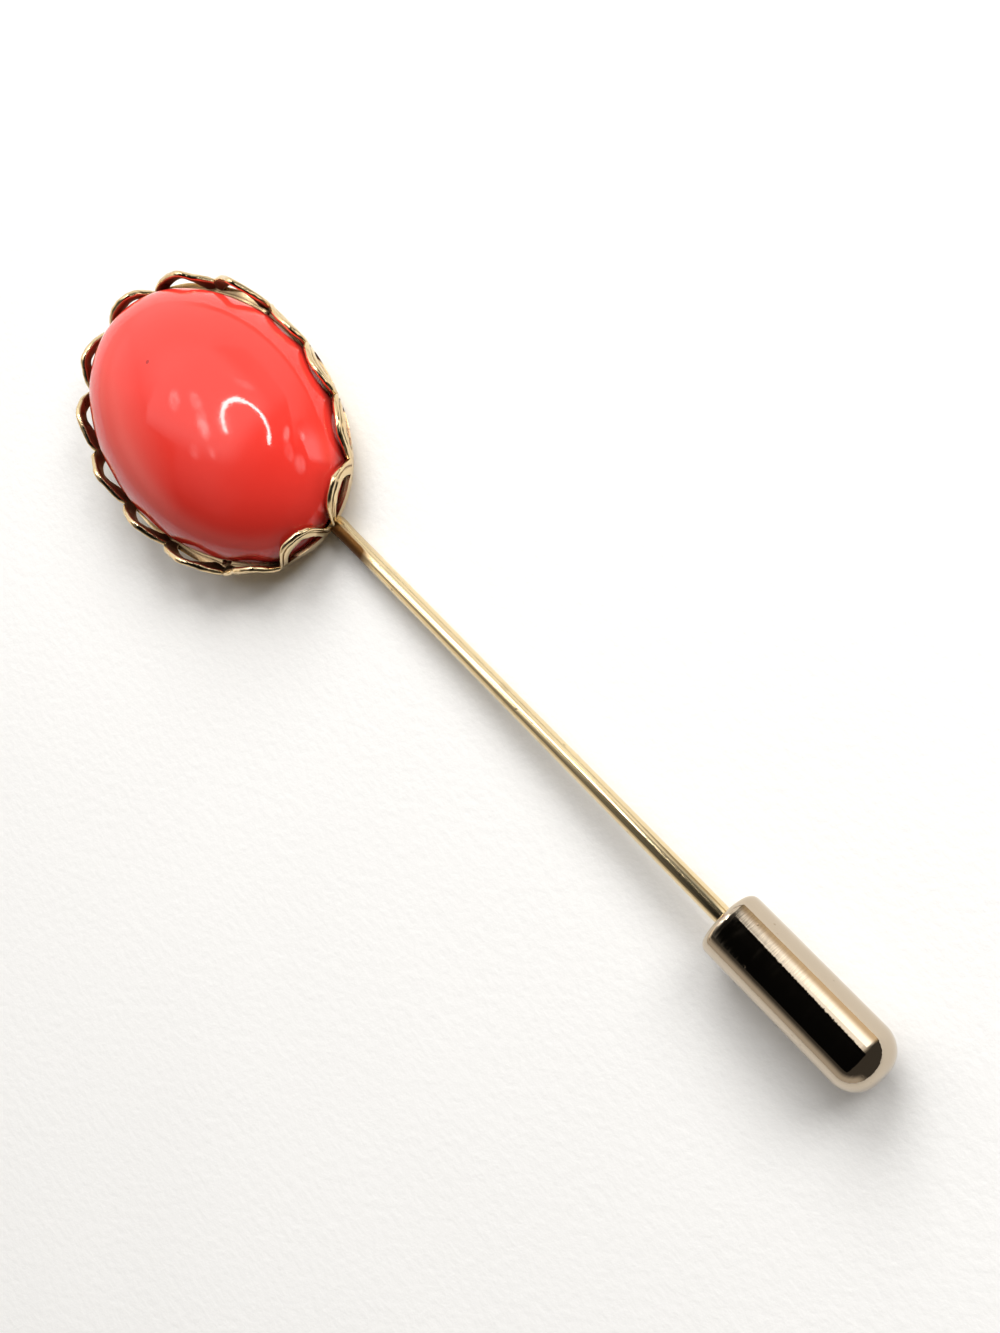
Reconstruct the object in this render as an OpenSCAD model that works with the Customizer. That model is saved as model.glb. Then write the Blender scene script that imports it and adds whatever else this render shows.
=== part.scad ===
/* [Cabochon] */
// Length of the stone's oval outline
stone_length = 20; // [18:0.5:24]
// Width of the stone's oval outline
stone_width = 14; // [13:0.5:15]
// Height of the dome above the girdle
dome_height = 4.3; // [2.5:0.1:8]
// Height of the stone's upright side, from the bevel of its back to the dome
girdle_height = 0.2; // [0.1:0.05:0.6]
// Bevel round the edge of the stone's back
back_bevel = 0.1; // [0.05:0.05:0.2]

/* [Setting] */
// Thickness of the setting's sheet metal
sheet = 0.35; // [0.2:0.05:0.5]
// Gap between the stone and the metal round it
stone_gap = 0.05; // [0.03:0.01:0.1]
// Radius of the bowl that the wall follows, seen in section
bowl_r = 2.8; // [2.7:0.1:4]
// Height of the bowl's widest level above the table
bowl_level = 2.1; // [2:0.1:2.4]
// Height of the arches' tips above the table
crown_height = 2.8; // [2.7:0.05:3.2]
// Height of the cusps between two arches above the table
cusp_height = 1.7; // [1.6:0.05:1.9]
// Number of arches round the stone
arch_count = 14; // [12:1:16]
// Width of the band of metal over each opening
band = 0.72; // [0.55:0.01:0.85]
// Depth that the wire sinks into the solder under the seat
solder_sink = 0.08; // [0.04:0.01:0.15]
// Gap between the wire and the table under the setting
table_gap = 0.03; // [0.02:0.01:0.1]

/* [Stick] */
// Diameter of the wire
wire_d = 1; // [0.8:0.05:1.2]
// Length of wire from the middle of the setting to the very point
stick_length = 49.2; // [40:0.2:75]
// Length of the tapered point
point_length = 8.1; // [3:0.1:8.5]
// Diameter of the blunted tip of the point
tip_d = 0.12; // [0.06:0.02:0.3]
// Length of the collar of solder round the wire, from the wall outwards
collar_length = 1.2; // [0.8:0.1:2]
// Length of wire soldered under the seat, from the middle towards the far end
solder_length = 5; // [3:0.5:6]
// Sideways distance from the stick to the middle of the setting
head_offset = 0.6; // [0:0.1:1.5]
// Turn of the setting about its upright axis, in degrees
head_turn = 1.1; // [-5:0.1:5]

/* [Clutch] */
// Diameter of the clutch
clutch_d = 3.65; // [3:0.05:5]
// Length of the clutch
clutch_length = 10.1; // [9.8:0.1:14]
// Radius of the rounded edge at its flat end
shoulder_r = 0.4; // [0.1:0.05:0.6]
// Radius of the rounded edge at its closed end
nose_r = 1.3; // [0.8:0.05:1.4]
// Length of stick inside the clutch
grip_depth = 7.8; // [5:0.1:7.9]
// Space left in the bore past the point
bore_spare = 0.6; // [0.3:0.1:1]
// Gap all round between the wire and the bore
bore_gap = 0.06; // [0.02:0.01:0.1]

/* [Hidden] */
$fn = 96;

wire_r = wire_d / 2;
wire_z = table_gap + wire_r;
clutch_r = clutch_d / 2;

// Stone's outline: end arcs and side arcs, their centres on right triangles of 3, 4 and 5 units
oval_unit = (stone_length - stone_width) / 4;
end_x = 3 * oval_unit;
side_y = 4 * oval_unit;
end_r = stone_length / 2 - end_x;
side_r = end_r + 5 * oval_unit;
turn = atan2(side_y, end_x);

// Heights above the table of the seat, the stone's back and its widest line
seat_z = wire_z + wire_r - solder_sink;
seat_top = seat_z + sheet;
stone_z = seat_top + stone_gap;
widest_z = stone_z + back_bevel;
dome_z = widest_z + girdle_height;

// Wall of the setting: its widest line, as a distance outwards from the stone's outline
inner_r = bowl_r - sheet;
rim = stone_gap + bowl_r - sqrt(pow(inner_r, 2) - pow(widest_z - bowl_level, 2));
foot_reach = bowl_r - sqrt(pow(inner_r, 2) - pow(bowl_level, 2));
function wall_reach(z) = rim - bowl_r + sqrt(pow(bowl_r, 2) - pow(z - bowl_level, 2));

// Lengths along the widest line: half an end arc, a side arc, a pitch of the arches
end_arc = (end_r + rim) * turn * PI / 180;
side_arc = (side_r + rim) * (180 - 2 * turn) * PI / 180;
rim_length = 4 * end_arc + 2 * side_arc;
pitch = rim_length / arch_count;

// Round head of an arch, through two cusps and its tip
rise = crown_height - cusp_height;
arch_r = (pow(pitch / 2, 2) + pow(rise, 2)) / (2 * rise);
arch_z = crown_height - arch_r;
opening_r = arch_r - band;
opening_z = seat_top + stone_gap;

// Arcs of the oval in turn, anticlockwise from the end with the stick
arc_starts = [0, end_arc, end_arc + side_arc, 3 * end_arc + side_arc, rim_length - end_arc];
arc_angles = [0, turn, 180 - turn, 180 + turn, 360 - turn];
arc_centres = [[end_x, 0], [0, -side_y], [-end_x, 0], [0, side_y], [end_x, 0]];
arc_radii = [end_r, side_r, end_r, side_r, end_r];
function arc_at(s) = len([for (start = arc_starts) if (s >= start) start]) - 1;
function oval_angle(s) =
    let (i = arc_at(s)) arc_angles[i] + (s - arc_starts[i]) / (arc_radii[i] + rim) * 180 / PI;
function oval_point(s, out) =
    let (i = arc_at(s), a = oval_angle(s)) arc_centres[i] + (arc_radii[i] + out) * [cos(a), sin(a)];

// Stick: level as far as the wall, then rising so that the clutch lies on the table
bend_x = end_x + end_r + wall_reach(wire_z) - sheet / 2;
clutch_start = stick_length - bend_x - grip_depth;
contact = clutch_start + shoulder_r;
side_drop = clutch_r - shoulder_r;
lift = atan2(side_drop, contact) + asin((shoulder_r - wire_z) / norm([contact, side_drop]));

// Middle of the pin's box, measured from the middle of the setting
nose_x = (clutch_start + clutch_length - nose_r) * cos(lift) + (clutch_r - nose_r) * sin(lift) + nose_r;
far_x = end_x * cos(head_turn) + end_r + rim;
box_middle = (bend_x + nose_x - far_x) / 2;

module in_place() {
    translate([-box_middle, head_offset, 0]) children();
}

module on_head() {
    in_place() translate([0, -head_offset, 0]) rotate(head_turn) children();
}

// From the bend towards the point, with the wire's line as the upright axis
module along_stick() {
    in_place() translate([bend_x, 0, wire_z]) rotate([0, 90 - lift, 0]) children();
}

module cabochon() {
    around = 96;
    levels = 18;
    edge = [[stone_z, -back_bevel, 1], [widest_z, 0, 1]];
    dome = [for (j = [0:levels - 1]) [dome_z + dome_height * sin(90 * j / levels), 0, cos(90 * j / levels)]];
    rings = concat(edge, dome);
    points = [
        for (ring = rings, i = [0:around - 1])
            let (p = oval_point(rim_length * i / around, ring[1]) * ring[2]) [p[0], p[1], ring[0]]
    ];
    sides = [
        for (j = [0:len(rings) - 2], i = [0:around - 1])
            let (a = j * around, n = (i + 1) % around) [a + i, a + around + i, a + around + n, a + n]
    ];
    last = (len(rings) - 1) * around;
    cap = [for (i = [0:around - 1]) [last + i, len(points), last + (i + 1) % around]];
    back = [[for (i = [0:around - 1]) i]];
    color("Tomato") on_head()
        polyhedron(concat(points, [[0, 0, dome_z + dome_height]]), concat(sides, cap, back));
}

// Sweeps a section, drawn as [outwards from the stone's outline, height], round the oval
module sweep_oval() {
    far = 3 * oval_unit;
    wedge_x = end_x + 3 * far;
    wedge_y = 4 * far;
    for (side = [1, -1]) {
        intersection() {
            translate([side * end_x, 0, 0]) rotate_extrude() translate([end_r, 0]) children();
            linear_extrude(2 * crown_height)
                polygon([[side * end_x, 0], [side * wedge_x, -wedge_y], [side * wedge_x, wedge_y]]);
        }
        intersection() {
            translate([0, -side * side_y, 0]) rotate_extrude() translate([side_r, 0]) children();
            linear_extrude(2 * crown_height)
                polygon([[0, -side * side_y], [wedge_x, side * wedge_y], [-wedge_x, side * wedge_y]]);
        }
    }
}

// Curved wall of the bowl, with the flange that carries the rim of the seat
module wall_section() {
    flange = oval_unit + 1.2;
    intersection() {
        translate([rim - bowl_r, bowl_level]) difference() {
            circle(r = bowl_r);
            circle(r = inner_r);
        }
        translate([rim - foot_reach, 0]) square([foot_reach + 1, crown_height + 1]);
    }
    translate([-flange, seat_z]) square([flange, sheet]);
}

// Round bar across the wall at a distance s along the widest line
module cross_bar(s, r, inwards, outwards) {
    translate(oval_point(s, rim)) translate([0, 0, arch_z]) rotate([0, 90, oval_angle(s)])
        translate([0, 0, -inwards]) cylinder(r = r, h = inwards + outwards);
}

module setting() {
    plate_r = end_r - 0.6;
    difference() {
        intersection() {
            sweep_oval() wall_section();
            for (k = [0:arch_count - 1]) cross_bar((k + 0.5) * pitch, arch_r, oval_unit + 2.5, 0.5);
        }
        difference() {
            for (k = [0:arch_count - 1]) cross_bar((k + 0.5) * pitch, opening_r, 0.8, 0.5);
            translate([0, 0, opening_z - 5]) cube([60, 60, 10], center = true);
        }
    }
    translate([0, 0, seat_z]) {
        translate([-end_x, -plate_r, 0]) cube([2 * end_x, 2 * plate_r, sheet]);
        for (side = [1, -1]) translate([side * end_x, 0, 0]) cylinder(r = plate_r, h = sheet);
    }
}

module stick() {
    straight = stick_length - bend_x - point_length;
    overlap = 0.2;
    collar_start = overlap + 0.05;
    in_place() translate([-solder_length, 0, wire_z]) rotate([0, 90, 0])
        cylinder(r = wire_r, h = solder_length + bend_x + overlap);
    along_stick() {
        translate([0, 0, -overlap]) cylinder(r = wire_r, h = straight + overlap);
        translate([0, 0, collar_start])
            cylinder(r1 = wire_z, r2 = wire_r + table_gap / 3, h = collar_length - collar_start);
        translate([0, 0, straight]) cylinder(r1 = wire_r, r2 = tip_d / 2, h = point_length);
    }
}

module setting_and_stick() {
    color("Goldenrod") {
        on_head() setting();
        stick();
    }
}

module clutch_section() {
    intersection() {
        union() {
            translate([0, shoulder_r]) square([clutch_r, clutch_length - shoulder_r - nose_r]);
            square([clutch_r - shoulder_r, clutch_length / 2]);
            translate([clutch_r - shoulder_r, shoulder_r]) circle(r = shoulder_r);
            translate([0, clutch_length / 2]) square([clutch_r - nose_r, clutch_length / 2]);
            translate([clutch_r - nose_r, clutch_length - nose_r]) circle(r = nose_r);
        }
        square([clutch_d, clutch_length + 1]);
    }
}

module clutch() {
    bore_depth = grip_depth + bore_spare;
    color("Khaki") along_stick() translate([0, 0, clutch_start]) rotate_extrude() difference() {
        clutch_section();
        square([wire_r + bore_gap, bore_depth]);
    }
}

cabochon();
setting_and_stick();
clutch();
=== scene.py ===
"""Looks of the stick pin: a coral-red stone in a gold crown of arches, its stick and its clutch."""

import logging
import math
from collections.abc import Callable, Iterable, Sequence
from dataclasses import dataclass
from enum import Enum

import bmesh
import bpy
from mathutils import Matrix, Vector, noise


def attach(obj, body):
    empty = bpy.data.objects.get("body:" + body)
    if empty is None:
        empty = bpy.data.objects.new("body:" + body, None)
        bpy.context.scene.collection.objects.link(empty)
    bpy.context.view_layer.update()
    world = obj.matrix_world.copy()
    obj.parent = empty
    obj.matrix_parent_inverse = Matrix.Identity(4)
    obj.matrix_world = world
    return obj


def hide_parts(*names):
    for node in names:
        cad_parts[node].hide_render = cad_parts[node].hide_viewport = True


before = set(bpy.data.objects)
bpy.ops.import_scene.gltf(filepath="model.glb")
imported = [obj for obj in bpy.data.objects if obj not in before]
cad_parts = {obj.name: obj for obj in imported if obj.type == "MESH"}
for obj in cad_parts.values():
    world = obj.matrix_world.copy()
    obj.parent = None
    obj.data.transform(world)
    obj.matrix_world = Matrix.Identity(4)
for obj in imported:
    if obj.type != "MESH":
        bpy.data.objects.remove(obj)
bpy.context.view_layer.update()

MM = 0.001
MERGE_DISTANCE = 0.0008
NOISE_SEED = 3
Colour = tuple[float, float, float]
Triple = tuple[float, float, float]
log = logging.getLogger("stick_pin")


def smooth(low: float, high: float, value: float) -> float:
    """Eases from 0 at low to 1 at high.

    Args:
        low: The value that gives 0.
        high: The value that gives 1.
        value: The value to place between them.

    Returns:
        The eased share, from 0 to 1.
    """
    share = min(1.0, max(0.0, (value - low) / (high - low)))
    return share * share * (3 - 2 * share)


# ---- shader arithmetic


class Value:
    """A shader socket that takes part in arithmetic."""

    def __init__(self, recipe: "Recipe", socket: bpy.types.NodeSocket) -> None:
        """Keeps the socket and the recipe that it belongs to."""
        self.recipe = recipe
        self.socket = socket

    def _work(self, operation: str, first: "Value | float", second: "Value | float") -> "Value":
        """Adds one Math node.

        Args:
            operation: Its operation.
            first: What goes into its first socket.
            second: What goes into its second socket.

        Returns:
            Its result.
        """
        made = self.recipe.add("ShaderNodeMath", {"operation": operation}, {0: first, 1: second})
        return Value(self.recipe, made.outputs[0])

    def __add__(self, other: "Value | float") -> "Value":
        """Sum."""
        return self._work("ADD", self, other)

    def __radd__(self, other: float) -> "Value":
        """Sum, reflected."""
        return self._work("ADD", other, self)

    def __sub__(self, other: "Value | float") -> "Value":
        """Difference."""
        return self._work("SUBTRACT", self, other)

    def __rsub__(self, other: float) -> "Value":
        """Difference, reflected."""
        return self._work("SUBTRACT", other, self)

    def __mul__(self, other: "Value | float") -> "Value":
        """Product."""
        return self._work("MULTIPLY", self, other)

    def __rmul__(self, other: float) -> "Value":
        """Product, reflected."""
        return self._work("MULTIPLY", other, self)

    def __pow__(self, other: float) -> "Value":
        """Power."""
        return self._work("POWER", self, other)

    def at_least(self, other: "Value | float") -> "Value":
        """The larger of the two."""
        return self._work("MAXIMUM", self, other)

    def at_most(self, other: "Value | float") -> "Value":
        """The smaller of the two."""
        return self._work("MINIMUM", self, other)

    def eased(self, low: float, high: float) -> "Value":
        """Eases from 0 where this value is low to 1 where it is high.

        Args:
            low: The value that gives 0.
            high: The value that gives 1.

        Returns:
            The eased share.
        """
        settings = {"interpolation_type": "SMOOTHSTEP"}
        made = self.recipe.add("ShaderNodeMapRange", settings, {0: self, 1: low, 2: high})
        return Value(self.recipe, made.outputs[0])


class Recipe:
    """The nodes of one material or of the sky."""

    def __init__(self, tree: bpy.types.NodeTree) -> None:
        """Starts from an empty tree."""
        self.tree = tree
        tree.nodes.clear()

    def add(self, kind: str, settings: dict, sockets: dict) -> bpy.types.Node:
        """Adds one node.

        Args:
            kind: The node's type.
            settings: Its settings by name, set first.
            sockets: Values or links of its sockets, by name or number.

        Returns:
            The node.
        """
        made = self.tree.nodes.new(kind)
        for name, setting in settings.items():
            setattr(made, name, setting)
        for key, wanted in sockets.items():
            if isinstance(wanted, Value):
                self.tree.links.new(wanted.socket, made.inputs[key])
            else:
                made.inputs[key].default_value = wanted
        return made

    def place(self) -> Value:
        """The point's own place on the part, in metres."""
        return Value(self, self.add("ShaderNodeTexCoord", {}, {}).outputs["Object"])

    def laid(self, turn: Triple, stretch: Triple) -> Value:
        """The part's coordinates turned and stretched for a pattern with a direction.

        Args:
            turn: Turn about the three axes, in radians.
            stretch: Scale along the three axes.

        Returns:
            The coordinates.
        """
        sockets = {"Vector": self.place(), "Rotation": turn, "Scale": stretch}
        return Value(self, self.add("ShaderNodeMapping", {}, sockets).outputs[0])

    def mottle(self, where: Value, scale: float, detail: float, rough: float = 0.5) -> Value:
        """Soft random variation from 0 to 1.

        Args:
            where: The coordinates to read.
            scale: Spots to the metre.
            detail: Number of finer layers.
            rough: Strength of the finer layers.

        Returns:
            The variation.
        """
        sockets = {"Vector": where, "Scale": scale, "Detail": detail, "Roughness": rough}
        return Value(self, self.add("ShaderNodeTexNoise", {}, sockets).outputs[0])

    def spots(self, where: Value, scale: float) -> Value:
        """Distance from the nearest of many scattered points.

        Args:
            where: The coordinates to read.
            scale: Points to the metre.

        Returns:
            The distance, in cells.
        """
        sockets = {"Vector": where, "Scale": scale}
        return Value(self, self.add("ShaderNodeTexVoronoi", {}, sockets).outputs["Distance"])

    def split(self, where: Value) -> tuple[Value, Value, Value]:
        """The three parts of a place or direction."""
        made = self.add("ShaderNodeSeparateXYZ", {}, {0: where})
        x, y, z = (Value(self, made.outputs[i]) for i in range(3))
        return x, y, z

    def painted(self, name: str) -> Value:
        """A share from 0 to 1 that the piece carries on its points."""
        settings = {"attribute_name": name}
        return Value(self, self.add("ShaderNodeAttribute", settings, {}).outputs["Fac"])

    def blend(
        self, share: "Value | float", first: "Value | Colour", second: "Value | Colour"
    ) -> Value:
        """Blends two colours.

        Args:
            share: How much of the second colour.
            first: The colour where the share is 0.
            second: The colour where the share is 1.

        Returns:
            The blended colour.
        """
        full = [c if isinstance(c, Value) else (*c, 1.0) for c in (first, second)]
        made = self.add("ShaderNodeMix", {"data_type": "RGBA"}, {0: share, 6: full[0], 7: full[1]})
        return Value(self, made.outputs[2])

    def relief(self, height: Value, depth: float) -> Value:
        """A bumped normal.

        Args:
            height: The relief, from 0 to 1.
            depth: Its full depth, in metres.

        Returns:
            The normal.
        """
        sockets = {"Height": height, "Distance": depth, "Strength": 1.0}
        return Value(self, self.add("ShaderNodeBump", {}, sockets).outputs[0])


def dressed(name: str, make: Callable[[Recipe], dict]) -> bpy.types.Material:
    """Makes a material around one Principled shader.

    Args:
        name: The material's name.
        make: Gives the shader's sockets for a recipe.

    Returns:
        The material.
    """
    material = bpy.data.materials.new(name)
    material.use_nodes = True
    recipe = Recipe(material.node_tree)
    shader = recipe.add("ShaderNodeBsdfPrincipled", {}, make(recipe))
    recipe.add("ShaderNodeOutputMaterial", {}, {"Surface": Value(recipe, shader.outputs[0])})
    return material


# ---- finishes


class Grain(Enum):
    """Which way the fine marks run on a metal."""

    STAMPED = "stamped"
    DRAWN = "drawn"
    TURNED = "turned"


@dataclass(frozen=True)
class CoralGloss:
    """Opaque coral-red stone with a high polish and painted shade low on its rim, where the arches
    stand against it.
    """

    name: str = "coral_stone"
    body: Colour = (0.90, 0.042, 0.029)
    cloud: Colour = (0.93, 0.049, 0.035)
    fleck: Colour = (0.45, 0.020, 0.018)
    # Painted shade: the colour the stone darkens to near its girdle, and the heights over which it
    # fades
    girdle_shade: Colour = (0.20, 0.014, 0.012)
    girdle_shade_levels: tuple[float, float] = (0.0018, 0.0026)
    relief: float = 0.000004
    gloss: float = 0.05

    def make(self) -> bpy.types.Material:
        """The material."""
        return dressed(self.name, self._sockets)

    def _sockets(self, recipe: Recipe) -> dict:
        """Sockets of the shader.

        Args:
            recipe: The material's recipe.

        Returns:
            The sockets by name.
        """
        where = recipe.place()
        clouds = recipe.mottle(where, 160, 3).eased(0.35, 0.70)
        flecks = 1 - recipe.spots(where, 210).eased(0.020, 0.032)
        rare = recipe.mottle(where, 90, 0).eased(0.58, 0.66)
        waves = recipe.mottle(where, 900, 2)
        fine = recipe.mottle(where, 9000, 2)
        smudge = recipe.mottle(where, 330, 4).eased(0.45, 0.75)
        # Painted shade: darker towards the girdle, where the arches stand against the stone
        edge = 0.88 * (1 - recipe.split(where)[2].eased(*self.girdle_shade_levels))
        few_flecks = flecks * rare
        colour = recipe.blend(clouds, self.body, self.cloud)
        colour = recipe.blend(few_flecks, colour, self.fleck)
        colour = recipe.blend(edge, colour, self.girdle_shade)
        return {
            "Base Color": colour,
            "Roughness": self.gloss + 0.05 * smudge,
            "Normal": recipe.relief(waves + 0.25 * fine, self.relief),
            "IOR": 1.5,
        }


@dataclass(frozen=True)
class PlatedMetal:
    """Gold-coloured plating, with brown painted shade in its hollows and wherever its pieces carry
    it, worn patches and fine marks.
    """

    name: str
    bright: Colour
    dull: Colour
    grain: Grain
    lift: float = 0.0
    gloss: float = 0.12
    wear: float = 0.3
    relief: float = 0.000010

    def make(self) -> bpy.types.Material:
        """The material."""
        return dressed(self.name, self._sockets)

    def _marks(self, recipe: Recipe) -> Value:
        """Coordinates in which the fine marks run the right way.

        Args:
            recipe: The material's recipe.

        Returns:
            The coordinates.
        """
        stretch = {
            Grain.STAMPED: (1.0, 1.0, 1.0),
            Grain.DRAWN: (0.04, 1.0, 1.0),
            Grain.TURNED: (1.0, 0.12, 0.12),
        }[self.grain]
        return recipe.laid((0.0, math.radians(self.lift), 0.0), stretch)

    def _sockets(self, recipe: Recipe) -> dict:
        """Sockets of the shader.

        Args:
            recipe: The material's recipe.

        Returns:
            The sockets by name.
        """
        where = recipe.place()
        along = self._marks(recipe)
        # Each piece carries a layer of painted shade, from 0 to 1
        painted_shade = recipe.painted("painted_shade")
        cloud = recipe.mottle(where, 420, 4, 0.6)
        lines = recipe.mottle(along, 5200, 3, 0.6)
        pits = 1 - recipe.spots(where, 1500).eased(0.05, 0.14)
        few = recipe.mottle(where, 600, 1).eased(0.52, 0.62)
        # Painted shade blended with random wear: both darken and roughen the metal
        shade_and_wear = (painted_shade * (0.55 + 0.6 * cloud) + cloud.eased(0.55, 0.85) * self.wear).at_most(1.0)
        scratch = lines.eased(0.56, 0.74)
        marked = (shade_and_wear + 0.5 * pits * few).at_most(1.0)
        return {
            "Base Color": recipe.blend(marked, self.bright, self.dull),
            "Metallic": 1.0,
            "Roughness": (self.gloss + 0.06 * scratch + 0.34 * shade_and_wear).at_most(0.7),
            "Normal": recipe.relief(0.5 * lines - 0.6 * pits * few + 0.3 * cloud, self.relief),
        }


@dataclass(frozen=True)
class PaleSheet:
    """The white sheet that the pin lies on."""

    name: str = "white_sheet"
    tone: Colour = (0.97, 0.968, 0.96)
    shade: Colour = (0.955, 0.953, 0.945)
    relief: float = 0.00003

    def make(self) -> bpy.types.Material:
        """The material."""
        return dressed(self.name, self._sockets)

    def _sockets(self, recipe: Recipe) -> dict:
        """Sockets of the shader.

        Args:
            recipe: The material's recipe.

        Returns:
            The sockets by name.
        """
        where = recipe.place()
        fibre = recipe.mottle(where, 1800, 4, 0.6)
        clouds = recipe.mottle(where, 60, 3).eased(0.3, 0.7)
        return {
            "Base Color": recipe.blend(clouds, self.tone, self.shade),
            "Roughness": 0.55 + 0.2 * fibre,
            "Normal": recipe.relief(fibre, self.relief),
        }


# ---- making a piece


def loose(bm: bmesh.types.BMesh) -> list[bmesh.types.BMEdge]:
    """Edges that bound an open hole."""
    return [e for e in bm.edges if e.is_boundary]


def finish_piece(
    bm: bmesh.types.BMesh,
    name: str,
    material: bpy.types.Material,
    body: str,
    stands_for: Sequence[str] = (),
    crease: float = 40.0,
) -> bpy.types.Object:
    """Turns a mesh drawn in millimetres into a finished piece.

    Args:
        bm: The mesh, which is used up.
        name: The piece's name.
        material: Its material.
        body: The body that it rides on.
        stands_for: The CAD nodes that it replaces.
        crease: Edges sharper than this many degrees stay crisp.

    Returns:
        The piece.
    """
    bmesh.ops.remove_doubles(bm, verts=bm.verts[:], dist=MERGE_DISTANCE)
    bmesh.ops.holes_fill(bm, edges=loose(bm), sides=0)
    bmesh.ops.recalc_face_normals(bm, faces=bm.faces[:])
    bmesh.ops.scale(bm, vec=(MM, MM, MM), verts=bm.verts[:])
    for face in bm.faces:
        face.smooth = True
    mesh = bpy.data.meshes.new(name)
    bm.to_mesh(mesh)
    bm.free()
    mesh.set_sharp_from_angle(angle=math.radians(crease))
    mesh.materials.append(material)
    piece = bpy.data.objects.new(name, mesh)
    bpy.context.scene.collection.objects.link(piece)
    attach(piece, body)
    if stands_for:
        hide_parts(*stands_for)
    log.info("%s: %d faces", name, len(mesh.polygons))
    return piece


def outline(bm: bmesh.types.BMesh, points: Iterable[Vector], closed: bool) -> list:
    """Draws a section as a line of edges.

    Args:
        bm: The mesh to draw in.
        points: The section's corners in order.
        closed: Whether the last corner joins the first.

    Returns:
        Its vertices and edges.
    """
    corners = [bm.verts.new(p) for p in points]
    pairs = list(zip(corners, corners[1:])) + ([(corners[-1], corners[0])] if closed else [])
    return corners + [bm.edges.new(pair) for pair in pairs]


def rounding(
    out: float, up: float, radius: float, degrees: Iterable[int]
) -> list[tuple[float, float]]:
    """Corners of a round edge in a turned section.

    Args:
        out: Distance of its middle from the axis.
        up: Height of its middle.
        radius: Its radius.
        degrees: The angles at which it has corners.

    Returns:
        The corners as distance from the axis and height.
    """
    turns = [math.radians(a) for a in degrees]
    return [(out + radius * math.cos(a), up + radius * math.sin(a)) for a in turns]


# ---- the part's own shapes


@dataclass(frozen=True)
class Oval:
    """The stone's outline: four arcs that run into one another.

    Lengths along it are measured on the setting's widest line.
    """

    length: float = 20.0
    width: float = 14.0
    rim: float = 0.4878
    middle: tuple[float, float] = (-20.5006, 0.0)
    turned: float = 1.1

    def arcs(self) -> list[tuple[float, float, tuple[float, float], float]]:
        """The arcs in turn, anticlockwise from the end with the stick.

        Returns:
            For each arc its start along the line, its start angle, its centre and its radius.
        """
        unit = (self.length - self.width) / 4
        end_x, side_y, corner = 3 * unit, 4 * unit, math.atan2(4, 3)
        end_r = self.length / 2 - end_x
        side_r = end_r + 5 * unit
        half_end = (end_r + self.rim) * corner
        side = (side_r + self.rim) * (math.pi - 2 * corner)
        return [
            (0.0, 0.0, (end_x, 0.0), end_r),
            (half_end, corner, (0.0, -side_y), side_r),
            (half_end + side, math.pi - corner, (-end_x, 0.0), end_r),
            (3 * half_end + side, math.pi + corner, (0.0, side_y), side_r),
            (3 * half_end + 2 * side, 2 * math.pi - corner, (end_x, 0.0), end_r),
            (4 * half_end + 2 * side, 2 * math.pi, (end_x, 0.0), end_r),
        ]

    def around(self) -> float:
        """Length of the widest line."""
        return self.arcs()[-1][0]

    def in_place(self, x: float, y: float) -> tuple[float, float]:
        """Moves a point from the middle of the setting to its place on the pin."""
        c, s = math.cos(math.radians(self.turned)), math.sin(math.radians(self.turned))
        return self.middle[0] + c * x - s * y, self.middle[1] + s * x + c * y

    def at(
        self, along: float, out: float, roundness: float = 0.0, share: float = 1.0
    ) -> tuple[float, float]:
        """A point of the outline.

        Args:
            along: Distance along the widest line.
            out: Distance outwards from the stone's outline.
            roundness: 0 on the four arcs, 1 on the ellipse of the same size.
            share: Scale about the middle.

        Returns:
            Its x and y on the pin.
        """
        arcs = self.arcs()
        along %= arcs[-1][0]
        start, angle, centre, radius = [a for a in arcs[:-1] if along >= a[0]][-1]
        angle += (along - start) / (radius + self.rim)
        c, s = math.cos(angle), math.sin(angle)
        x, y = centre[0] + (radius + out) * c, centre[1] + (radius + out) * s
        a, b = self.length / 2, self.width / 2
        reach = math.hypot(a * c, b * s)
        x += roundness * (a * a * c / reach - x)
        y += roundness * (b * b * s / reach - y)
        return self.in_place(share * x, share * y)


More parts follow.
